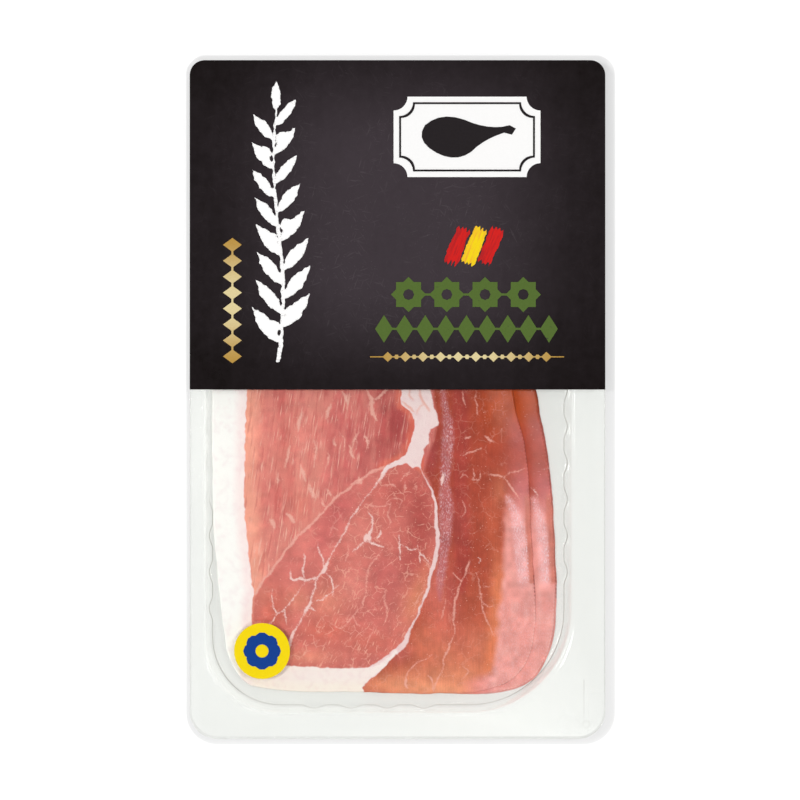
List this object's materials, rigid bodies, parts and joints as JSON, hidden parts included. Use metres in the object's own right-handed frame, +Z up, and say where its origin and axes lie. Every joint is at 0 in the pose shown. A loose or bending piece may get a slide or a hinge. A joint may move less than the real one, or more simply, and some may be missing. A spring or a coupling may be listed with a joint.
{
  "type": "sliced ham pack",
  "caption": "Flat retail pack of sliced dry-cured ham: shallow clear tray with fluted walls, clear lidding film sealed on its flange, dark printed upper half.",
  "frame": {"origin": "middle of the pack's outline, on the surface that the tray's base stands on", "axes": "+X across the pack to its wide flange, +Y along the pack to its printed end, +Z up out of the lidding film"},
  "size_m": [0.15, 0.245, 0.0106],
  "materials": {
    "tray_plastic": "clear thermoformed sheet, very slightly green-grey, glossy, with a fine knurled seal band",
    "film": "clear glossy lidding film with faint ripples",
    "ham": "moist dry-cured ham: coral to dark red lean with white fat rim, seams and fine marbling",
    "print_black": "slate-black print, satin, faintly mottled and scratched",
    "print_chalk": "white chalk-like print with rough edges",
    "print_gold": "muted gold ink",
    "print_white": "white ink",
    "print_red": "red ink, dry-brush grain",
    "print_yellow": "yellow ink",
    "print_green": "leaf-green ink",
    "print_blue": "deep blue ink"
  },
  "bodies": {
    "root": {"tray": "tray_plastic", "lid_film": "film", "slice_bottom": "ham", "slice_middle": "ham", "slice_top": "ham", "print_panel": "print_black", "chalk_sprig": "print_chalk", "gold_chain": "print_gold", "plaque": "print_white", "plaque_line": "print_black", "plaque_mark": "print_black", "brush_dab_1": "print_red", "brush_dab_2": "print_yellow", "brush_dab_3": "print_red", "frieze_upper": "print_green", "frieze_lower": "print_green", "gold_rule": "print_gold", "seal_disc": "print_yellow", "seal_rosette": "print_blue"}
  },
  "joints": []
}
